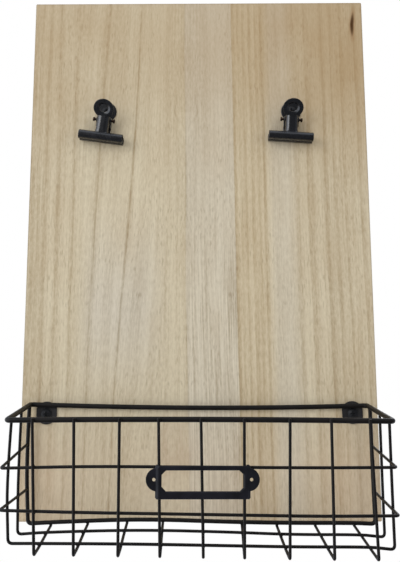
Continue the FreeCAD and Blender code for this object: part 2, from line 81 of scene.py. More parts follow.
# %% Camera
camera_right = 3.7 * mm
camera_away = 509.8 * mm
camera_up = -47.4 * mm
camera_pitch = math.radians(9.28)
camera_yaw = math.radians(0.33)
camera_roll = math.radians(-0.13)
film_height = 36
focal_length = 46.31
lens_shift = -0.1486
turn = Matrix.Rotation(camera_yaw, 4, "Z")
turn = turn @ Matrix.Rotation(math.pi / 2 + camera_pitch, 4, "X")
turn = turn @ Matrix.Rotation(camera_roll, 4, "Z")
camera_place = Vector((camera_right, board_face - camera_away, camera_up))
bpy.ops.object.camera_add(location=camera_place, rotation=turn.to_euler())
camera = bpy.context.object
camera.data.sensor_fit = "VERTICAL"
camera.data.sensor_height = film_height
camera.data.lens = focal_length
camera.data.shift_y = lens_shift
bpy.context.scene.camera = camera
bpy.context.scene.view_settings.view_transform = "Standard"
print("camera at", [round(number, 3) for number in camera.location])

# %% [markdown]
# ## Shader arithmetic
# A finish that changes over a surface is arithmetic on sockets. Writing it as node calls hides the idea, so
# this small class lets Python's own operators add the Math nodes. Every other kind of node comes from its
# one method `node`, which sets the node up and then fills its sockets.

# %% A socket that takes part in sums
class Signal:
    """A shader socket. Python arithmetic on it adds Math nodes to its tree."""

    def __init__(self, tree, socket=None):
        self.tree = tree
        self.socket = socket

    def node(self, kind, settings, inputs, output=0):
        """Add a node, set it up, fill its sockets by name or number, and return one output."""
        made = self.tree.nodes.new(kind)
        for name, value in settings.items():
            setattr(made, name, value)
        for name, value in inputs.items():
            if isinstance(value, Signal):
                self.tree.links.new(value.socket, made.inputs[name])
            else:
                made.inputs[name].default_value = value
        return Signal(self.tree, made.outputs[output])

    def math(self, operation, *values):
        return self.node("ShaderNodeMath", {"operation": operation}, dict(enumerate(values)))

    def __add__(self, other):
        return self.math("ADD", self, other)

    def __sub__(self, other):
        return self.math("SUBTRACT", self, other)

    def __rsub__(self, other):
        return self.math("SUBTRACT", other, self)

    def __mul__(self, other):
        return self.math("MULTIPLY", self, other)

    def __truediv__(self, other):
        return self.math("DIVIDE", self, other)

    def __pow__(self, other):
        return self.math("POWER", self, other)

    def __abs__(self):
        return self.math("ABSOLUTE", self)

    __radd__ = __add__
    __rmul__ = __mul__

    def rise(self, low, high):
        """0 below low, 1 above high and a smooth slope between them."""
        limits = {"Value": self, "From Min": low, "From Max": high}
        return self.node("ShaderNodeMapRange", {"interpolation_type": "SMOOTHSTEP"}, limits)

    def at_least(self, other):
        return self.math("MAXIMUM", self, other)

    def blend(self, first, second):
        """The first colour where this is 0 and the second where it is 1."""
        return self.node("ShaderNodeMix", {"data_type": "RGBA"}, {0: self, 6: first, 7: second}, 2)

    def noise(self, cell, detail=2.0, roughness=0.5):
        """Noise of about 0 to 1 on this place, whose lumps have the given size along x, y and z."""
        size = {"Vector": self, "Scale": [1 / length for length in cell]}
        stretched = self.node("ShaderNodeMapping", {}, size)
        grain = {"Vector": stretched, "Scale": 1.0, "Detail": detail, "Roughness": roughness}
        return self.node("ShaderNodeTexNoise", {}, grain)

    def parts(self):
        """The x, y and z of this place."""
        return [self.node("ShaderNodeSeparateXYZ", {}, {0: self}, axis) for axis in range(3)]


def paint(red, green, blue):
    """A colour as it looks on the screen, from 0 to 255, turned into light."""
    shares = [value / 255 for value in (red, green, blue)]
    return [((share + 0.055) / 1.055) ** 2.4 for share in shares] + [1.0]


# %% A finish and its place in millimetres
class Finish:
    """A new material with its shader, and the place on the piece in millimetres."""

    def __init__(self, name, **constants):
        self.name = name
        self.material = bpy.data.materials.new(name)
        self.material.use_nodes = True
        tree = self.material.node_tree
        self.shader = tree.nodes["Principled BSDF"]
        for socket, value in constants.items():
            self.shader.inputs[socket.replace("_", " ")].default_value = value
        metres = Signal(tree).node("ShaderNodeTexCoord", {}, {}, "Object")
        to_millimetres = {0: metres, "Scale": 1 / mm}
        self.place = metres.node("ShaderNodeVectorMath", {"operation": "SCALE"}, to_millimetres)

    def drive(self, socket, signal):
        """Let a signal drive one of the shader's sockets."""
        self.material.node_tree.links.new(signal.socket, self.shader.inputs[socket])

    def emboss(self, height, depth):
        """Bump the surface by a height signal, whose full swing is a depth in millimetres."""
        swing = {"Height": height, "Distance": depth * mm, "Strength": 1.0}
        self.drive("Normal", height.node("ShaderNodeBump", {}, swing))


def dress(finish, *names):
    """Give CAD nodes a finish through their own material slots."""
    for name in names:
        for slot in nodes[name].material_slots:
            slot.material = finish.material
    print(finish.name, "on", len(names), "nodes")


# %% [markdown]
# ## The wood
# The board is one plank of pale, light wood. To the left of the middle the year rings come to the surface
# at a low angle, so their lines lean, are wide apart near the middle and crowd together towards the edge.
# A paler strip runs up the middle, and to the right the lines stand straight. A picture could be wrapped
# round the board, but a solid pattern is better: it is worked out from the rings of the tree, so that the
# lines on the face run on over the edges and show as arcs on the ends. Stains come last: a brown smudge, a
# knot streak at the upper right and darker end grain. Painted light and shade go with them: a paler, rosy
# painted light near the foot that lifts the basket's shade, and painted shade along the rounded edges.

# %% The rings of the tree
wood = Finish("pale_wood", Specular_IOR_Level=0.25)
right, deep, up = wood.place.parts()

heart_right = -9.0
heart_behind_face = 52.0
heart_lean = -0.012
wander = (wood.place.noise((60, 60, 140)) - 0.5) * 4.0
across = right + wander - (up * heart_lean + heart_right)
below_face = deep - board_face / mm
ring_flatness = 40.0
ring_slope = (heart_behind_face - below_face / 2) / (across * across + ring_flatness ** 2) ** 0.5
ring_bend = below_face * ring_slope
from_heart = abs(across) - ring_bend

# %% Leaning lines on the left
left_side = (0 - across).rise(-0.5, 0.5)
edge_lean = 0.014
most_lean = 0.066
lean = edge_lean + most_lean * from_heart.rise(5, 40) * (1 - from_heart.rise(38, 95))
leaning = from_heart + up * lean
ring_first_gap = 76.0
ring_limit = 119.0
ring_shrink = -math.log(0.7)
ring_room = (ring_limit - leaning).at_least(1.5)
ring_log = ring_room.math("LOGARITHM", ring_room / ring_first_gap, math.e)
ring_share = ring_log.math("FRACT", ring_log / -ring_shrink + 10.0)
off_ring = (0.5 - abs(ring_share - 0.5)) * ring_room * ring_shrink
ring_seen = leaning.rise(16, 38)
ring_blur = leaning.rise(55, 85)
thin_line = (1 - off_ring.rise(0.2, 1.1)) * ring_seen * (1 - ring_blur * 0.75)
wide_line = (1 - off_ring.rise(0.3, 3.0)) * ring_seen * (0.25 + ring_blur * 0.2)
ring_strength = 0.82
left_line = (thin_line + wide_line) * ring_strength

# %% Straight lines on the right
# Each line has its distance from the heart, the width of its soft outer side and its strength.
right_lines = (
    (35.3, 4.0, 1.0),
    (39.6, 2.2, 0.5),
    (43.4, 2.4, 0.6),
    (47.9, 3.6, 0.8),
    (52.4, 2.4, 0.5),
    (56.5, 3.2, 0.9),
    (79.4, 4.0, 0.4),
    (88.3, 4.5, 0.6),
    (100.5, 3.6, 0.65),
    (107.1, 3.4, 0.5),
    (114.5, 4.0, 0.55),
    (125.0, 4.0, 0.7),
)
right_line = 0
for line_place, soft_side, strength in right_lines:
    past_line = from_heart - line_place
    sharp_side = past_line.rise(-1.0, 0.1)
    right_line = right_line + sharp_side * (1 - past_line.rise(0.1, soft_side)) * strength
right_side = 1 - left_side
right_zone = across.rise(34.6, 35.8)
middle_zone = right_side * (1 - right_zone)
golden_zone = right_zone * (1 - from_heart.rise(54, 64))
grey_zone = right_side * from_heart.rise(57, 65) * (1 - from_heart.rise(72, 84))
lower_half = 1 - up.rise(-50, 50)
faded_band = left_side * leaning.rise(8, 32) * (1 - leaning.rise(60, 80))
faded_zone = faded_band * lower_half * up.rise(-120, -40)

# %% Streaks, flecks and pores that follow the lines
zone_across = left_side.node(
    "ShaderNodeMix", {"data_type": "FLOAT"}, {0: left_side, 2: from_heart, 3: leaning}
)
along_grain = zone_across.node("ShaderNodeCombineXYZ", {}, {0: zone_across, 1: deep, 2: up})
fine = along_grain.noise((1.2, 4, 60), 3.0, 0.6)
broad = along_grain.noise((5, 20, 260), 2.0)
fleck = along_grain.noise((1.3, 3, 4.5), 2.0, 0.6)
pore_patch = along_grain.noise((14, 20, 40), 1.0).rise(0.4, 0.6)
pore = along_grain.noise((1.0, 2, 6), 0.0).rise(0.6, 0.75) * pore_patch
dashes = along_grain.noise((4, 20, 11), 2.0).rise(0.3, 0.6)
cloud = along_grain.noise((28, 60, 60), 2.0)

# %% The colour of the wood
heart_line = (1 - abs(across).rise(0.2, 1.2)) * 0.4
leaning_lines = (left_side * left_line + heart_line) * (0.4 + dashes * 0.6)
straight_lines = right_zone * right_line * (0.6 + dashes * 0.4)
lines = leaning_lines + straight_lines
streaks = (fine - 0.5) * 0.65 + (broad - 0.5) * 0.6 + (fleck - 0.5) * 0.8
streaks = streaks + middle_zone * lower_half * (fine - 0.5) * 1.5
tone = (0.25 + lines * 0.42 + streaks).rise(-0.2, 1.2)
warm = tone.blend(paint(217, 206, 180), paint(156, 135, 102))
grey = tone.blend(paint(214, 206, 190), paint(160, 148, 127))
colour = (middle_zone * 0.55 + grey_zone * 0.45 + faded_zone * 0.8).blend(warm, grey)
colour = (golden_zone * 0.16).blend(colour, paint(190, 160, 112))
colour = (pore * 0.25).blend(colour, paint(128, 108, 82))
# Browner and darker towards the top and the right, a little near the left edge, and in random clouds of
# tone.
upper_half = up.rise(20, 140)
browner_top_right_and_clouds = upper_half * 0.28 + right.rise(-20, 120) * upper_half * 0.2 + right.rise(20, 120) * 0.12
browner_top_right_and_clouds = browner_top_right_and_clouds + (cloud - 0.5) * 0.5 + left_side * from_heart.rise(70, 105) * 0.06
colour = browner_top_right_and_clouds.blend(colour, paint(164, 132, 88))

# %% A smudge, and painted light at the foot
smudge_right, smudge_up = -17.0, -136.0
smudge_half = (17.0, 28.0)


def oval(aside, above, half):
    """0 in the middle of an oval on the face and 1 at its edge, from its half width and height."""
    return (aside / half[0]) ** 2.0 + (above / half[1]) ** 2.0


smudge_out = oval(right - smudge_right, up - smudge_up, smudge_half)
smudge = (1 - smudge_out.rise(0.0, 1.0)) * (0.1 + dashes * 0.16)
colour = smudge.blend(colour, paint(150, 108, 78))
# Painted light: a paler, rosy lift near the foot, strongest at the corners, that lightens the shade the
# basket casts there.
painted_light_at_foot = (1 - up.rise(-155, -105)) * (0.1 + abs(right).rise(60, 110) * 0.1)
colour = painted_light_at_foot.blend(colour, paint(228, 190, 160))

# %% A knot streak, painted shade on the edges and darker end grain
knot_right, knot_up = 113.7, 165.8
knot_lean = 0.12
knot_depth = 5.0
knot_core, knot_halo = (1.7, 11.0), (3.0, 17.0)
above_knot = up - knot_up
beside_knot = right - knot_right - above_knot.at_least(0.0) * knot_lean


def knot_shape(half):
    """1 in the middle of the knot and 0 outside a stretched ball round it."""
    return 1 - (oval(beside_knot, above_knot, half) + (below_face / knot_depth) ** 2.0).rise(0.0, 1.0)


colour = (knot_shape(knot_halo) * 0.5).blend(colour, paint(146, 104, 58))
colour = knot_shape(knot_core).blend(colour, paint(76, 48, 18))
board_side, board_top = board_high.x / mm, board_high.z / mm
# Painted shade along the rounded side edges of the face.
painted_shade_on_sides = abs(right).rise(board_side - 1.4, board_side - 0.1)
colour = (painted_shade_on_sides * 0.4).blend(colour, paint(142, 128, 104))
# Darker end grain with pores on the top and bottom, and painted shade along the rounded edges of the face
# next to them.
end_grain_and_edge_shade = abs(up).rise(board_top - 1.8, board_top - 0.1)
end_dots = wood.place.noise((0.5, 0.5, 3), 1.0).rise(0.55, 0.7)
colour = (end_grain_and_edge_shade * (0.25 + end_dots * 0.3)).blend(colour, paint(120, 96, 66))

wood.drive("Base Color", colour)
wood.drive("Roughness", 0.55 + pore * 0.2 + fine * 0.1)
wood.emboss(fine * 0.35 - pore * 0.8 - lines * 0.25, 0.06)
dress(wood, "board")

# %% [markdown]
# ## The black finishes
# The basket is dipped in satin black paint, which fills small hollows and leaves a soft, slightly uneven
# skin, and the heads of its screws and of the clips' screws look the same. The clips wear a harder and
# glossier enamel. All are nearly black, so what one sees of them is mostly their sheen, and the variation
# goes into roughness and a fine bump as well as into the colour.

# %% Satin paint on the wires, the tabs, the label holder and the screws
def satin_paint(name, dark, pale, sheen_low, sheen_high):
    """A dipped paint whose colour, sheen and skin vary a little."""
    finish = Finish(name, Specular_IOR_Level=0.22)
    cloudy = finish.place.noise((9, 9, 9), 3.0)
    skin = finish.place.noise((0.7, 0.7, 0.7), 2.0)
    finish.drive("Base Color", cloudy.rise(0.3, 0.7).blend(dark, pale))
    finish.drive("Roughness", cloudy * (sheen_high - sheen_low) + skin * 0.06 + sheen_low)
    finish.emboss(skin, 0.03)
    return finish


wire_paint = satin_paint("wire_paint", paint(13, 11, 10), paint(22, 18, 16), 0.42, 0.6)
tab_paint = satin_paint("tab_paint", paint(36, 35, 36), paint(48, 47, 48), 0.4, 0.6)
label_paint = satin_paint("label_paint", paint(17, 17, 22), paint(26, 26, 34), 0.3, 0.45)
black_screw = satin_paint("black_screw", paint(22, 23, 25), paint(32, 33, 36), 0.35, 0.5)
dress(black_screw, "basket_screws", "left_clip_screw", "right_clip_screw")

# %% Enamel on the clips
clip_enamel = Finish("clip_enamel", Specular_IOR_Level=0.7, Coat_Roughness=0.12)
enamel_cloud = clip_enamel.place.noise((6, 6, 6), 3.0)
enamel_skin = clip_enamel.place.noise((1.2, 1.2, 1.2), 1.0)
clip_enamel.drive("Base Color", enamel_cloud.rise(0.3, 0.7).blend(paint(11, 11, 14), paint(18, 18, 23)))
clip_enamel.drive("Roughness", 0.2 + enamel_cloud * 0.14)
clip_enamel.drive("Coat Weight", 0.1 + enamel_skin * 0.15)
clip_enamel.emboss(enamel_skin, 0.02)

# %% [markdown]
# ## The metals
# The pins are darkened steel, worn brown, and the springs are bright wire. The keyhole plates at the back
# and their screws are zinc plated, which shows a faint cloudy spangle.

# %% Metals
def metal(name, dark, pale, shine, spread, cell):
    """A metal whose brightness and polish vary in patches of the given size."""
    finish = Finish(name, Metallic=1.0)
    patch = finish.place.noise((cell, cell, cell), 3.0)
    finish.drive("Base Color", patch.rise(0.3, 0.7).blend(dark, pale))
    finish.drive("Roughness", patch * spread + shine)
    finish.emboss(finish.place.noise((0.5, 0.5, 0.5), 2.0), 0.01)
    return finish


pin_steel = metal("pin_steel", paint(52, 40, 34), paint(78, 62, 52), 0.35, 0.25, 1.5)
spring_steel = metal("spring_steel", paint(150, 147, 140), paint(186, 184, 178), 0.22, 0.16, 1.5)
zinc_plate = metal("zinc_plate", paint(168, 172, 176), paint(205, 208, 210), 0.28, 0.25, 3.0)
zinc_screw = metal("zinc_screw", paint(160, 163, 166), paint(196, 198, 200), 0.25, 0.2, 2.0)
dress(zinc_plate, "left_keyhole_plate", "right_keyhole_plate")
dress(zinc_screw, "keyhole_plate_screws")

# %% [markdown]
# ## Tools for modelling by hand
# The CAD solids are exact and sharp. Pressed sheet metal isn't: its bends are round and its edges soft.
# Such a piece is started from primitives, shaped in edit mode and given its thickness by a modifier. A fine
# voxel remesh then welds the strips into one sheet, a few rounds of smoothing run fillets into the corners,
# and Decimate takes away the faces that the flat parts don't need.

# %% Selecting and adding
def select_only(*pieces):
    """Make these the only selected objects, the first of them active."""
    bpy.ops.object.select_all(action="DESELECT")
    for piece in pieces:
        piece.select_set(True)
    bpy.context.view_layer.objects.active = pieces[0]


def start(add, **settings):
    """Add a primitive and put its place and turn into its mesh."""
    bpy.ops.object.select_all(action="DESELECT")
    add(**settings)
    piece = bpy.context.object
    bpy.ops.object.transform_apply(location=True, rotation=True, scale=True)
    return piece


facing_front = (math.pi / 2, 0, 0)
lying_across = (0, math.pi / 2, 0)


def cylinder(middle, radius, length, turn, sides=64, **settings):
    """A cylinder in millimetres that faces the front or lies across."""
    return start(
        bpy.ops.mesh.primitive_cylinder_add,
        vertices=sides,
        radius=radius * mm,
        depth=length * mm,
        location=middle * mm,
        rotation=turn,
        **settings,
    )


def copy_of(model, place, turn):
    """A copy of a piece, with a new place and turn put into its mesh."""
    select_only(model)
    bpy.ops.object.duplicate()
    copy = bpy.context.object
    copy.location = place
    copy.rotation_euler = turn
    bpy.ops.object.transform_apply(location=True, rotation=True)
    return copy


def edit(piece):
    select_only(piece)
    bpy.ops.object.mode_set(mode="EDIT")
    bpy.ops.mesh.select_all(action="SELECT")


def done():
    bpy.ops.object.mode_set(mode="OBJECT")


def pick(piece, part, wanted):
    """In edit mode, select the vertices, edges or faces whose middle, in millimetres, is wanted."""
    bpy.ops.mesh.select_mode(type=part)
    bpy.ops.mesh.select_all(action="DESELECT")
    mesh = bmesh.from_edit_mesh(piece.data)
    items = {"VERT": mesh.verts, "EDGE": mesh.edges, "FACE": mesh.faces}[part]
    for item in items:
        corners = [item.co] if part == "VERT" else [corner.co for corner in item.verts]
        if wanted(sum(corners, Vector()) / len(corners) / mm):
            item.select_set(True)
    mesh.select_flush_mode()
    bmesh.update_edit_mesh(piece.data)


def resize(shares, middle):
    """In edit mode, scale what is selected about a middle in millimetres."""
    bpy.ops.transform.resize(value=shares, center_override=middle * mm)


def extrude_edges(move):
    """In edit mode, extrude the selected edges by a move in millimetres."""
    bpy.ops.mesh.extrude_edges_move(TRANSFORM_OT_translate={"value": move * mm})


def near(first, second):
    """Whether two sizes in millimetres are the same to a hundredth."""
    return abs(first - second) < 0.01


# %% Finishing
def apply_modifier(piece, kind, **settings):
    """Add a modifier with these settings and apply it."""
    select_only(piece)
    modifier = piece.modifiers.new(kind.lower(), kind)
    for name, value in settings.items():
        setattr(modifier, name, value)
    bpy.ops.object.modifier_apply(modifier=modifier.name)


def join(*pieces):
    select_only(*pieces)
    bpy.ops.object.join()
    return pieces[0]


def cut(piece, cutter):
    """Take a cutter's shape away from a piece."""
    apply_modifier(piece, "BOOLEAN", operation="DIFFERENCE", object=cutter, solver="EXACT")
    bpy.data.objects.remove(cutter)


clip_voxel, plate_voxel = 0.16, 0.2
clip_rounds, label_rounds, fixing_rounds = 7, 5, 4
kept_faces = 0.3


def weld(piece, voxel):
    """Make the parts of a piece one skin."""
    apply_modifier(piece, "REMESH", mode="VOXEL", voxel_size=voxel * mm)


def soften(piece, voxel, rounds):
    """Weld a piece, round its edges by smoothing, and keep a share of its faces."""
    weld(piece, voxel)
    apply_modifier(piece, "SMOOTH", factor=0.5, iterations=rounds)
    apply_modifier(piece, "DECIMATE", ratio=kept_faces)
    bpy.ops.object.shade_smooth()


def hand_over(piece, name, finish, body, *replaced):
    """Name a finished piece, paint it, let it ride on its body and stand for CAD nodes."""
    piece.name = name
    piece.data.name = name
    piece.data.materials.clear()
    piece.data.materials.append(finish.material)
    if replaced:
        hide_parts(*replaced)
    if body:
        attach(piece, body)
    print(name, len(piece.data.polygons), "faces")


# %% [markdown]
# ## The clips
# A clip is two pressings of thin sheet on one pin. Each is a round tab, a neck and a jaw whose edge is
# rolled into a tube. The neck of the front one is a channel with rounded corners, its tab leans out for the
# thumb, and the edge of the hole in the tab is drawn inwards. The clip is modelled upright, with the board's
# face behind it and its screw at the origin, and a copy is then tilted and moved to each screw.

# %% Sizes of a clip
sheet = 0.8
jaw_half_long = 15.75
roll_slit = 0.6
tab_radius = 7.3
pivot_out, pivot_up = 5.85, -7.6
pivot_place = Vector((0, -pivot_out, pivot_up))
ear_radius = 2.2
ear_root = 5.0
ear_low, ear_high = pivot_up - ear_root, pivot_up + ear_radius

# %% The rolled edge of a jaw
def thicken(piece):
    """Give a surface the thickness of the sheet, half to each side."""
    apply_modifier(piece, "SOLIDIFY", thickness=sheet * mm, offset=0)


def rolled_edge(out, up, radius):
    """A tube of sheet that is open along a slit at its top."""
    middle = Vector((0, -out, up))
    long = 2 * jaw_half_long
    tube = cylinder(middle, radius - sheet / 2, long, lying_across, sides=72, end_fill_type="NOTHING")
    edit(tube)
    pick(tube, "FACE", lambda at: at.z > up and abs(at.y + out) < (sheet + roll_slit) / 4)
    bpy.ops.mesh.delete(type="FACE")
    done()
    thicken(tube)
    return tube


# %% A neck with its ears
def strip(half_width, out, low, high):
    """A flat upright strip that faces the front."""
    plane = start(
        bpy.ops.mesh.primitive_plane_add,
        size=mm,
        location=(0, -out * mm, (low + high) / 2 * mm),
        rotation=facing_front,
    )
    edit(plane)
    bpy.ops.transform.resize(value=(2 * half_width, 1, high - low))
    done()
    return plane


def slice_level(*levels):
    """Cut the selected mesh through at some heights."""
    for level in levels:
        bpy.ops.mesh.select_all(action="SELECT")
        bpy.ops.mesh.bisect(plane_co=(0, 0, level * mm), plane_no=(0, 0, 1))


def draw_back(plane, wanted, distance):
    """Fold the wanted edges of a strip back, or forward where the distance is negative."""
    pick(plane, "EDGE", wanted)
    extrude_edges(Vector((0, distance, 0)))


def ear_boss(side, half_width):
    """The round end of an ear, where the pin goes through it."""
    middle = pivot_place + Vector((side * half_width, 0, 0))
    return cylinder(middle, ear_radius, sheet, lying_across, sides=40)


# %% The front jaw
neck_half = 4.2
neck_out = 11.15
neck_round = 3.0
neck_flange = 3.2
bend_up = -5.5
front_roll_radius = 3.2
front_roll_out, front_roll_up = 9.15, -20.4
neck_low = -18.5
flare_from = -15.6
flare_low_spread, flare_middle_spread = 1.75, 1.16


def front_neck():
    """The channel between the front roll and the tab, which spreads where it meets the roll."""
    neck = strip(neck_half, neck_out, neck_low, bend_up)
    edit(neck)
    flare_middle = (flare_from + 2 * neck_low) / 3
    slice_level(flare_from, flare_middle, ear_low, ear_high)
    draw_back(neck, lambda at: near(abs(at.x), neck_half), neck_flange)
    flange_back = -neck_out + neck_flange
    in_ear = lambda at: near(at.y, flange_back) and ear_low < at.z < ear_high
    draw_back(neck, in_ear, neck_out - neck_flange - pivot_out)
    pick(neck, "EDGE", lambda at: near(abs(at.x), neck_half) and near(at.y, -neck_out))
    bpy.ops.mesh.bevel(offset=neck_round * mm, segments=6, affect="EDGES", clamp_overlap=True)
    for level, spread in ((neck_low, flare_low_spread), (flare_middle, flare_middle_spread)):
        pick(neck, "VERT", lambda at: near(at.z, level))
        resize((spread, 1, 1), Vector())
    done()
    thicken(neck)
    return neck


# %% The thumb tab
splay = math.radians(40)
tab_reach = 5.5
funnel_radius = 4.7
funnel_depth = 0.6
tab_hole_radius = 3.5
collar_depth = 0.5
along_tab = Vector((0, -math.sin(splay), math.cos(splay)))
before_tab = Vector((0, -math.cos(splay), -math.sin(splay)))


def thumb_tab():
    """A leaning disc whose hole has its edge drawn inwards."""
    bend = Vector((0, -neck_out, bend_up))
    middle = bend + along_tab * tab_reach
    disc = start(
        bpy.ops.mesh.primitive_circle_add,
        vertices=72,
        radius=tab_radius * mm,
        fill_type="NOTHING",
        location=middle * mm,
        rotation=(math.pi / 2 + splay, 0, 0),
    )
    edit(disc)
    extrude_edges(Vector())
    resize((funnel_radius / tab_radius,) * 3, middle)
    extrude_edges(before_tab * -funnel_depth)
    resize((tab_hole_radius / funnel_radius,) * 3, middle - before_tab * funnel_depth)
    extrude_edges(before_tab * -collar_depth)
    bpy.ops.mesh.select_all(action="SELECT")
    bpy.ops.mesh.bisect(plane_co=bend * mm, plane_no=along_tab, clear_inner=True)
    done()
    thicken(disc)
    return disc


def front_jaw():
    bosses = [ear_boss(side, neck_half) for side in (-1, 1)]
    roll = rolled_edge(front_roll_out, front_roll_up, front_roll_radius)
    jaw = join(roll, front_neck(), thumb_tab(), *bosses)
    soften(jaw, clip_voxel, clip_rounds)
    return jaw


# %% The rear jaw
rear_half = 5.0
rear_out = 0.55
rear_roll_radius = 2.8
rear_roll_out, rear_roll_up = 2.95, -20.9


def rear_jaw():
    """The pressing behind: a flat tab under the screw, ears round the front neck and the rolled jaw."""
    tab = cylinder(Vector((0, -rear_out, 0)), tab_radius, sheet, facing_front, sides=72)
    web = strip(rear_half, rear_out, rear_roll_up, 0)
    edit(web)
    slice_level(ear_low, ear_high)
    in_ear = lambda at: near(abs(at.x), rear_half) and ear_low < at.z < ear_high
    draw_back(web, in_ear, rear_out - pivot_out)
    done()
    thicken(web)
    bosses = [ear_boss(side, rear_half) for side in (-1, 1)]
    jaw = join(rolled_edge(rear_roll_out, rear_roll_up, rear_roll_radius), tab, web, *bosses)
    soften(jaw, clip_voxel, clip_rounds)
    return jaw


# %% The pin, headed over at both ends
pin_radius = 0.9
pin_half_long = 6.7
pin_head_radius = 1.45
pin_head_long = 1.2
pin_head_round = 0.3


def pivot_pin():
    pin = cylinder(pivot_place, pin_radius, 2 * pin_half_long, lying_across, sides=32)
    edit(pin)
    for side in (-1, 1):
        end = side * pin_half_long
        pick(pin, "FACE", lambda at: near(at.x, end))
        bpy.ops.mesh.extrude_region_move()
        resize((pin_head_radius / pin_radius,) * 3, pivot_place + Vector((end, 0, 0)))
        reach = (side * pin_head_long * mm, 0, 0)
        bpy.ops.mesh.extrude_region_move(TRANSFORM_OT_translate={"value": reach})
        bpy.ops.mesh.region_to_loop()
        bpy.ops.mesh.bevel(offset=pin_head_round * mm, segments=3, affect="EDGES")
    done()
    bpy.ops.object.shade_smooth_by_angle(angle=math.radians(40))
    return pin


# %% [markdown]
# ## The springs
# A torsion spring sits on each pin, and its two legs push the front and rear sheets apart above the pin.
# The Screw modifier winds a small circle round the axis, and the legs are the coil's two ends, extruded
# along the way the wire was heading. When the clip opens, one leg stays with the rear sheet and the other
# goes with the front one; here the spring rides on neither body.

# %% The spring
wire_radius = 0.35
coil_radius = 1.75
coil_pitch = 1.2
coil_turns = 4
leg_lean = math.radians(32)
leg_long = 4.6
coil_steps = 20
coil_climb = coil_pitch / (2 * math.pi)
end_slack = 0.05


def coil_heading(angle):
    """The way the wire is heading at an angle round the pin."""
    heading = Vector((coil_climb, coil_radius * math.sin(angle), coil_radius * math.cos(angle)))
    return heading.normalized()


def coil_point(angle):
    """The middle of the wire at an angle round the pin."""
    return Vector((coil_climb * angle, -coil_radius * math.cos(angle), coil_radius * math.sin(angle)))


def torsion_spring():
    whole = 2 * math.pi * coil_turns
    first_angle = math.pi + leg_lean - whole / 2
    last_angle = whole / 2 - leg_lean
    turn_to = coil_heading(first_angle).to_track_quat("Z", "Y").to_euler()
    spring = start(
        bpy.ops.mesh.primitive_circle_add,
        vertices=14,
        radius=wire_radius * mm,
        fill_type="NOTHING",
        location=coil_point(first_angle) * mm,
        rotation=turn_to,
    )
    angle = last_angle - first_angle
    steps = round(coil_steps * angle / (2 * math.pi))
    apply_modifier(
        spring,
        "SCREW",
        axis="X",
        angle=-angle,
        screw_offset=coil_climb * angle * mm,
        steps=steps,
        render_steps=steps,
        use_smooth_shade=True,
    )
    edit(spring)
    for end_angle, forward in ((first_angle, -1), (last_angle, 1)):
        tip = coil_point(end_angle)
        heading = coil_heading(end_angle) * forward
        beside_end = lambda at: abs((at - tip).dot(heading)) < end_slack
        pick(spring, "VERT", lambda at: beside_end(at) and (at - tip).length < wire_radius + end_slack)
        extrude_edges(heading * leg_long)
        bpy.ops.mesh.edge_face_add()
    bpy.ops.mesh.select_all(action="SELECT")
    bpy.ops.mesh.normals_make_consistent(inside=False)
    done()
    spring.location = pivot_place * mm
    bpy.ops.object.transform_apply(location=True)
    bpy.ops.object.shade_smooth_by_angle(angle=math.radians(50))
    return spring


# %% A copy of every clip piece on each side
clip_models = {
    "front_jaw": front_jaw(),
    "rear_jaw": rear_jaw(),
    "pivot_pin": pivot_pin(),
    "spring": torsion_spring(),
}
clip_finishes = {"pivot_pin": pin_steel, "spring": spring_steel}
for clip_side in ("left", "right"):
    screw_place = joints[f"{clip_side}_clip_swivel"]["pos_m"]
    pin_along = Vector(joints[f"{clip_side}_jaw_open"]["axis"])
    clip_tilt = math.atan2(pin_along.z, -pin_along.x)
    for model_name, model in clip_models.items():
        copy = copy_of(model, screw_place, (0, clip_tilt, 0))
        finish = clip_finishes.get(model_name, clip_enamel)
        node_name = f"{clip_side}_clip_{model_name}"
        body = {"front_jaw": f"{clip_side}_jaw", "spring": None}.get(model_name, f"{clip_side}_clip")
        hand_over(copy, f"{node_name}_pressed", finish, body, node_name)
        if model_name == "spring":
            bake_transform(copy)
for model in clip_models.values():
    bpy.data.objects.remove(model)

# %% [markdown]
# ## The label holder
# The label holder is stamped from thin sheet: a shallow tray that is open at the top for a card, an
# eight-sided window whose border slopes inwards, and a flat round ear with a small hole at each end. The
# tray and the ears are blocks and discs, and the window, the room for the card and the holes are cut out.

# %% Blocks with cut corners
def block(middle, size, chamfer=0):
    """A block round a middle, in millimetres, whose four edges from front to back may be cut off."""
    solid = start(bpy.ops.mesh.primitive_cube_add, size=mm, location=middle * mm)
    edit(solid)
    resize(size, middle)
    if chamfer:
        pick(solid, "EDGE", lambda at: near(at.y, middle.y))
        bpy.ops.mesh.bevel(offset=chamfer * mm, segments=1, affect="EDGES")
    done()
    return solid


# %% The stamped frame
label_half_wide = 27.4
label_sheet = 0.8
label_chamfer = 0.8
post_slope = 2.0
bar_slope = 0.7
window_half_wide = 23.3
window_low, window_high = -4.8, 6.4
window_height = window_high - window_low
window_chamfer = 2.4
border_slope = 1.3
border_drop = 0.7
label_ear_radius = 6.4
label_ear_out = 26.2
label_ear_up = 1.3
label_hole_out = 27.9
label_hole_radius = 0.95


def window_cutter(middle, depth, grow):
    """A block of the window's outline, larger by a margin all round."""
    size = (2 * (window_half_wide + grow), depth, window_height + 2 * grow)
    return block(middle, size, window_chamfer + grow / 2)


def sloping_border(middle):
    """The hollow between the face of the frame and the lower edge of the window."""
    hollow = window_cutter(middle, 2 * border_drop, border_slope)
    edit(hollow)
    pick(hollow, "VERT", lambda at: at.y > middle.y)
    width_share = window_half_wide / (window_half_wide + border_slope)
    height_share = window_height / (window_height + 2 * border_slope)
    resize((width_share, 1, height_share), middle)
    done()
    return hollow


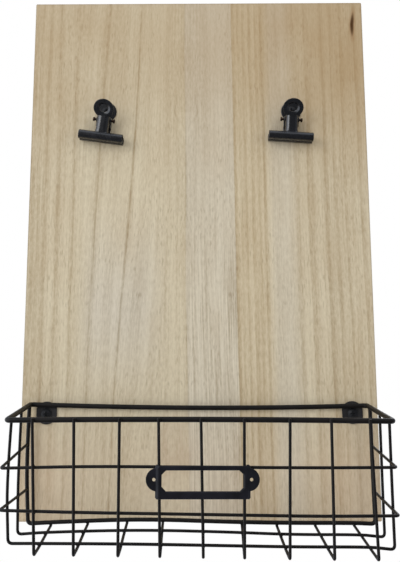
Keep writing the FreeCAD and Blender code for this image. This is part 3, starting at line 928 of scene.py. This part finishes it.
def label_holder():
    low, high = corners_of("label_holder")
    middle = (low + high) / 2
    depth, height = high.y - low.y, high.z - low.z
    frame_body = block(middle, (2 * label_half_wide, depth, height), label_chamfer)
    edit(frame_body)
    pick(frame_body, "VERT", lambda at: at.y < middle.y)
    taper = (1 - post_slope / label_half_wide, 1, 1 - 2 * bar_slope / height)
    resize(taper, middle)
    done()
    room_wide = 2 * (label_half_wide - post_slope - label_sheet / 2)
    cut(frame_body, block(middle + Vector((0, label_sheet, label_sheet)), (room_wide, depth, height)))
    window_middle = middle + Vector((0, 0, (window_low + window_high) / 2))
    cut(frame_body, window_cutter(window_middle, 3 * depth, 0))
    face_middle = window_middle - Vector((0, depth / 2, 0))
    cut(frame_body, sloping_border(face_middle))
    to_back = (depth - label_sheet) / 2
    ears = []
    for side in (-1, 1):
        ear_middle = middle + Vector((side * label_ear_out, to_back, label_ear_up))
        ears.append(cylinder(ear_middle, label_ear_radius, label_sheet, facing_front))
    holder = join(frame_body, *ears)
    weld(holder, plate_voxel)
    card_room = (room_wide, label_sheet, height)
    cut(holder, block(middle + Vector((0, to_back, label_sheet)), card_room))
    for side in (-1, 1):
        hole_middle = middle + Vector((side * label_hole_out, 0, label_ear_up))
        cut(holder, cylinder(hole_middle, label_hole_radius, 3 * depth, facing_front))
    soften(holder, plate_voxel, label_rounds)
    return holder


hand_over(label_holder(), "label_holder_pressed", label_paint, "board", "label_holder")

# %% [markdown]
# ## The fixing tabs
# Two flat tabs behind the rim hold the basket to the board. Each is a disc whose left and right sides are
# cut straight, with a hole for its screw.

# %% A disc with two straight sides
fixing_radius = 7.5
fixing_half_wide = 6.9
fixing_hole_radius = 2.0


def fixing_tab(node_name):
    low, high = corners_of(node_name)
    middle = (low + high) / 2
    middle.z = low.z + fixing_radius
    depth = high.y - low.y
    tab = cylinder(middle, fixing_radius, depth, facing_front)
    edit(tab)
    for side in (-1, 1):
        bpy.ops.mesh.select_all(action="SELECT")
        cut_place = middle + Vector((side * fixing_half_wide, 0, 0))
        bpy.ops.mesh.bisect(plane_co=cut_place * mm, plane_no=(side, 0, 0), use_fill=True, clear_outer=True)
    done()
    cut(tab, cylinder(middle, fixing_hole_radius, 3 * depth, facing_front))
    soften(tab, plate_voxel, fixing_rounds)
    return tab


for node_name in ("basket_left_tab", "basket_right_tab"):
    hand_over(fixing_tab(node_name), f"{node_name}_pressed", tab_paint, "board", node_name)

# %% [markdown]
# ## The wires of the basket
# The basket is welded from bent wires by hand, so its wires aren't as true as the CAD's: the rim sags at
# the back, the bands tilt a little and the uprights lean. A circle could be extruded round every bend, but a
# path with a round bevel is simpler: its few control points are the ends and bends of the wire, and it is
# made a mesh once it lies right.

# %% A wire along its bends
gentle_turn = math.radians(15)


def rounded(stops, reach, closed=False):
    """The control points of a path that stays straight up to a reach before each sharp bend."""
    path = []
    for number, stop in enumerate(stops):
        after = stops[(number + 1) % len(stops)]
        inside = closed or 0 < number < len(stops) - 1
        arriving = (stop - stops[number - 1]).normalized()
        leaving = (after - stop).normalized()
        if inside and arriving.angle(leaving) > gentle_turn:
            path += [stop - arriving * reach, stop, stop + leaving * reach]
        else:
            path.append(stop)
    return path


def wire(path, radius, closed):
    """A round wire that follows control points in millimetres."""
    bpy.ops.object.select_all(action="DESELECT")
    bpy.ops.curve.primitive_nurbs_path_add()
    curve = bpy.context.object
    spline = curve.data.splines[0]
    spline.points.add(len(path) - len(spline.points))
    for point, place in zip(spline.points, path):
        point.co = (*(place * mm), 1)
    spline.order_u = 3
    spline.use_cyclic_u = closed
    spline.use_endpoint_u = not closed
    spline.resolution_u = 6
    curve.data.bevel_depth = radius * mm
    curve.data.bevel_resolution = 3
    curve.data.use_fill_caps = True
    bpy.ops.object.convert(target="MESH")
    return bpy.context.object


def hang(node_name, path, radius, closed=False):
    """Make the wire that stands for a CAD node."""
    hand_over(wire(path, radius, closed), f"{node_name}_wire", wire_paint, "board", node_name)


# %% Places on the wires
rim_radius, rear_radius, mesh_radius = 1.6, 1.3, 0.9


def true_line(name, radius):
    """The corners of the box round the middle line of a CAD wire."""
    low, high = corners_of(name)
    return low + Vector((radius,) * 3), high - Vector((radius,) * 3)


def between(first, second, axis, value):
    """The place on the line through two stops whose x, y or z has a value."""
    begin, end = getattr(first, axis), getattr(second, axis)
    return first.lerp(second, (value - begin) / (end - begin))


def on_leg(leg, z):
    """The place on a hoop's leg, given by its top, half height and foot, that has a height."""
    top, half, foot = leg
    return between(top, half, "z", z) if z > half.z else between(half, foot, "z", z)


rim_low, rim_high = true_line("basket_rim", rim_radius)
rim_height = rim_high.z
basket_middle = (rim_low.x + rim_high.x) / 2
basket_half = (rim_high.x - rim_low.x) / 2

# %% The hoops
# Each leg, left and right, stands a little off its true place at its top, at half its height and at its
# foot. The floor of a hoop rises above its true height, or hangs below it, from its left foot to its right.
hoop_radius = {
    "basket_rear_hoop": rear_radius,
    "basket_middle_hoop": mesh_radius,
    "basket_front_hoop": mesh_radius,
}
leg_shift = {
    "basket_rear_hoop": ((-0.3, -1.0, 1.4), (-1.9, -1.8, -1.4)),
    "basket_middle_hoop": ((0.0, -0.7, 0.3), (-0.8, -0.9, -0.8)),
    "basket_front_hoop": ((0.2, -1.4, 0.8), (-0.8, -0.9, -0.8)),
}
floor_shares = (-0.86, -0.35, 0.15, 0.5, 0.88)
floor_rise = {
    "basket_rear_hoop": (-0.6, 0.3, 2.3, 0.4, -0.3, -0.3, -0.9),
    "basket_middle_hoop": (0.0, 1.2, 2.6, 1.3, -0.3, -0.3, -1.8),
    "basket_front_hoop": (1.7, 1.7, 1.4, 0.4, -0.3, -0.3, -1.8),
}
hoop_bend = 5.5
hoop_legs = {}
hoop_floors = {}
for hoop_name, radius in hoop_radius.items():
    low, high = true_line(hoop_name, radius)
    hoop_y = (low.y + high.y) / 2
    rises = floor_rise[hoop_name]
    legs = []
    for true_x, shifts, rise in zip((low.x, high.x), leg_shift[hoop_name], (rises[0], rises[-1])):
        heights = (rim_height, (rim_height + low.z) / 2, low.z + rise)
        legs.append([Vector((true_x + shift, hoop_y, z)) for shift, z in zip(shifts, heights)])
    floor_stops = []
    for share, rise in zip(floor_shares, rises[1:-1]):
        floor_stops.append(Vector((basket_middle + share * basket_half, hoop_y, low.z + rise)))
    hoop_legs[hoop_name] = legs
    hoop_floors[hoop_name] = [legs[0][-1]] + floor_stops + [legs[1][-1]]
    hang(hoop_name, rounded(legs[0] + floor_stops + legs[1][::-1], hoop_bend), radius)


def on_floor(hoop_name, x):
    """The place on the floor of a hoop at a distance along it."""
    stops = hoop_floors[hoop_name]
    number = max(number for number, stop in enumerate(stops[:-1]) if stop.x <= x)
    return between(stops[number], stops[number + 1], "x", x)


# %% The rim
# A level wire, which is the rim or a band, bows up in the middle of its front and tilts down to the right.
level_bow = {"basket_rim": 0.7, "basket_upper_band": 0.1, "basket_lower_band": 0.1}
level_tilt = {"basket_rim": 0.45, "basket_upper_band": 0.8, "basket_lower_band": 1.8}
front_places = (-0.6, -0.2, 0.2, 0.6)


def level_rise(name, x):
    """How far the front of a level wire stands above its true height at a place along it."""
    share = (x - basket_middle) / basket_half
    return level_bow[name] * (1 - share * share) - level_tilt[name] * share


def level_front(name, y, height):
    """The stops along the front of a level wire between its corners."""
    places = [basket_middle + share * basket_half for share in front_places]
    return [Vector((x, y, height + level_rise(name, x))) for x in places]


rim_bend = 6.0
rim_left_spread = {"front": 0.9, "rear": 3.5}
rear_sag = 1.9
rear_lift = 1.1
rim_tilt = level_tilt["basket_rim"]
front_left = Vector((rim_low.x - rim_left_spread["front"], rim_low.y, rim_height + rim_tilt))
front_right = Vector((rim_high.x, rim_low.y, rim_height - rim_tilt))
rear_left = Vector((rim_low.x - rim_left_spread["rear"], rim_high.y, rim_height + rear_lift))
rear_stops = []
for share in front_places:
    rise = rear_lift * (1 - share) / 2 - rear_sag * (1 - share * share)
    rear_stops.insert(0, Vector((basket_middle + share * basket_half, rim_high.y, rim_height + rise)))
front_stops = level_front("basket_rim", rim_low.y, rim_height)
rim_stops = [front_left] + front_stops + [front_right, rim_high] + rear_stops + [rear_left]
hang("basket_rim", rounded(rim_stops, rim_bend, closed=True), rim_radius, closed=True)
level_sides = {"basket_rim": ((front_left, rear_left), (front_right, rim_high))}

# %% The bands
# Each band has a corner at the left and at the right, moved sideways and up, and two ends at the rear hoop.
band_bend = 5.0
corner_shift = {
    "basket_upper_band": ((-2.3, -0.4), (-0.4, -0.2)),
    "basket_lower_band": ((-2.1, 2.4), (-0.2, -0.7)),
}
end_rise = {"basket_upper_band": (1.8, 0.6), "basket_lower_band": (-1.1, -2.2)}
for band_name, shifts in corner_shift.items():
    low, high = true_line(band_name, mesh_radius)
    corners = []
    for true_x, (aside, rise) in zip((low.x, high.x), shifts):
        corners.append(Vector((true_x + aside, low.y, high.z + rise)))
    ends = []
    for leg, rise in zip(hoop_legs["basket_rear_hoop"], end_rise[band_name]):
        ends.append(on_leg(leg, high.z + rise))
    stops = [ends[0], corners[0]] + level_front(band_name, low.y, high.z) + [corners[1], ends[1]]
    hang(band_name, rounded(stops, band_bend), mesh_radius)
    level_sides[band_name] = tuple(zip(corners, ends))

# %% The uprights
# Each upright stands off its true place at its top, at its foot and at the rear end of its floor run.
upright_shift = (
    (-0.9, 2.6, -2.2),
    (-1.2, 0.4, -2.4),
    (0.8, 1.0, -1.0),
    (-1.0, 0.2, -2.0),
    (-0.9, 0.2, 0.0),
    (-0.3, -1.0, 1.0),
    (1.7, 0.0, -0.7),
    (1.1, 0.6, 0.0),
    (-1.0, 0.9, 1.1),
)
upright_above_rim = 1.1
upright_bend = 4.0
left_foot_rise, right_foot_rise = 3.2, 0.2
uprights = []
for number, shifts in enumerate(upright_shift):
    upright_name = f"basket_upright_{number + 1}"
    low, high = true_line(upright_name, mesh_radius)
    top_x, foot_x, rear_x = ((low.x + high.x) / 2 + shift for shift in shifts)
    along = number / (len(upright_shift) - 1)
    foot_z = low.z + left_foot_rise * (1 - along) + right_foot_rise * along
    top = Vector((top_x, low.y, rim_height + upright_above_rim + level_rise("basket_rim", top_x)))
    foot = Vector((foot_x, low.y, foot_z))
    rear = Vector((rear_x, high.y + mesh_radius, low.z))
    under_hoops = []
    for hoop_name, radius in hoop_radius.items():
        place = between(foot, rear, "y", hoop_floors[hoop_name][0].y)
        place.z = max(low.z, on_floor(hoop_name, place.x).z - radius - mesh_radius)
        under_hoops.insert(0, place)
    rear.z = under_hoops[-1].z
    uprights.append((top, foot, under_hoops))
    stops = [top, (top + foot) / 2, foot] + under_hoops[:-1] + [rear]
    hang(upright_name, rounded(stops, upright_bend), mesh_radius)

# %% [markdown]
# ## Weld marks
# The wires are spot welded where they cross, and the paint then fills the corners. From close by each
# crossing shows a small soft lump, so one lump is made and copied to every crossing.

# %% The crossings
crossings = []
for top, foot, under_hoops in uprights:
    for level_name in level_sides:
        low, high = corners_of(level_name)
        on_upright = between(top, foot, "z", (low.z + high.z) / 2)
        on_upright.y += mesh_radius
        on_upright.z += level_rise(level_name, on_upright.x)
        crossings.append((on_upright, "front"))
    for place in under_hoops:
        crossings.append((place + Vector((0, 0, mesh_radius)), "floor"))
for legs in hoop_legs.values():
    for sides in level_sides.values():
        for leg, (corner, end) in zip(legs, sides):
            on_level = between(corner, end, "y", leg[0].y)
            crossings.append(((on_level + on_leg(leg, on_level.z)) / 2, "side"))
print(len(crossings), "crossings")

# %% One lump and its copies
lump_radius = 1.25
lump_shape = (0.9, 0.6, 1.05)


def weld_lump():
    """A small lump of paint and metal, flat between the two wires."""
    lump = start(bpy.ops.mesh.primitive_uv_sphere_add, segments=12, ring_count=8, radius=lump_radius * mm)
    edit(lump)
    bpy.ops.transform.resize(value=lump_shape)
    done()
    bpy.ops.object.shade_smooth()
    return lump


lump_turns = {"front": (0, 0, 0), "floor": (math.pi / 2, 0, 0), "side": (0, 0, math.pi / 2)}
lump = weld_lump()
lumps = []
for crossing, kind in crossings:
    lumps.append(copy_of(lump, crossing * mm, lump_turns[kind]))
bpy.data.objects.remove(lump)
hand_over(join(*lumps), "basket_welds", wire_paint, "board")

# %% [markdown]
# ## Floor, light and background
# The board hangs clear of a pale floor. A wide soft lamp stands in front and to the upper left, a weaker
# one to the right, and a third behind the board lights its back. The room gives an even light all round. In
# gloss one sees a photographer's tent instead, bright at the left, the top and the back, and the right lamp
# isn't mirrored at all. Camera rays see the room as plain white.

# %% Floor
floor_below = 140 * mm
floor_radius = 0.6
floor_before_wall = 0.28
bpy.ops.object.select_all(action="DESELECT")
floor_place = (0, -floor_before_wall, board_low.z - floor_below)
bpy.ops.mesh.primitive_circle_add(vertices=96, radius=floor_radius, fill_type="NGON", location=floor_place)
floor = bpy.context.object
floor.name = "floor"
floor_finish = Finish("pale_floor", Roughness=0.8)
floor_cloud = floor_finish.place.noise((40, 40, 40))
floor_finish.drive("Base Color", floor_cloud.blend(paint(232, 231, 229), paint(240, 239, 237)))
floor.data.materials.append(floor_finish.material)
floor.visible_glossy = False

# %% Lamps
lamp_width = 0.9


def soft_lamp(name, place, power, in_gloss):
    """A square lamp that looks at the middle of the board."""
    toward = (Vector((0, board_face, 0)) - Vector(place)).to_track_quat("-Z", "Y").to_euler()
    bpy.ops.object.light_add(type="AREA", location=place, rotation=toward)
    lamp = bpy.context.object
    lamp.name = name
    lamp.data.size = lamp_width
    lamp.data.energy = power
    lamp.visible_glossy = in_gloss


soft_lamp("left_lamp", (-1.0, -1.2, 0.45), power=9.0, in_gloss=True)
soft_lamp("right_lamp", (1.2, -1.1, 0.2), power=4.0, in_gloss=False)
soft_lamp("back_lamp", (0.6, 1.4, 0.6), power=8.0, in_gloss=True)

# %% Background
world = bpy.data.worlds.new("studio")
bpy.context.scene.world = world
world.use_nodes = True
room = Signal(world.node_tree)
room_strength = 0.6
left_glow, right_glow, top_glow, even_glow = 1.7, 0.15, 1.0, 0.15
plain_tint = (1.0, 1.0, 1.0, 1.0)
tent_tint = (0.84, 0.9, 1.0, 1.0)


def background(tint, strength):
    return room.node("ShaderNodeBackground", {}, {"Color": tint, "Strength": strength})


to_camera = room.node("ShaderNodeLightPath", {}, {}, "Is Camera Ray")
glossy = room.node("ShaderNodeLightPath", {}, {}, "Is Glossy Ray")
through = room.node("ShaderNodeLightPath", {}, {}, "Is Transmission Ray")
to_right, to_back, to_top = room.node("ShaderNodeTexCoord", {}, {}, "Generated").parts()
left_wall = (0 - to_right).rise(0.4, 0.8) * left_glow
right_wall = to_right.rise(0.5, 0.85) * right_glow
top_wall = to_top.rise(0.45, 0.85) * top_glow
tent = (left_wall + right_wall + top_wall + even_glow).at_least(to_back.rise(0.0, 0.3))
even_room, tent_room = background(plain_tint, room_strength), background(tent_tint, tent)
unseen = room.node("ShaderNodeMixShader", {}, {0: glossy.at_least(through), 1: even_room, 2: tent_room})
mixed = room.node("ShaderNodeMixShader", {}, {0: to_camera, 1: unseen, 2: background(plain_tint, 1.0)})
world.node_tree.links.new(mixed.socket, world.node_tree.nodes["World Output"].inputs["Surface"])
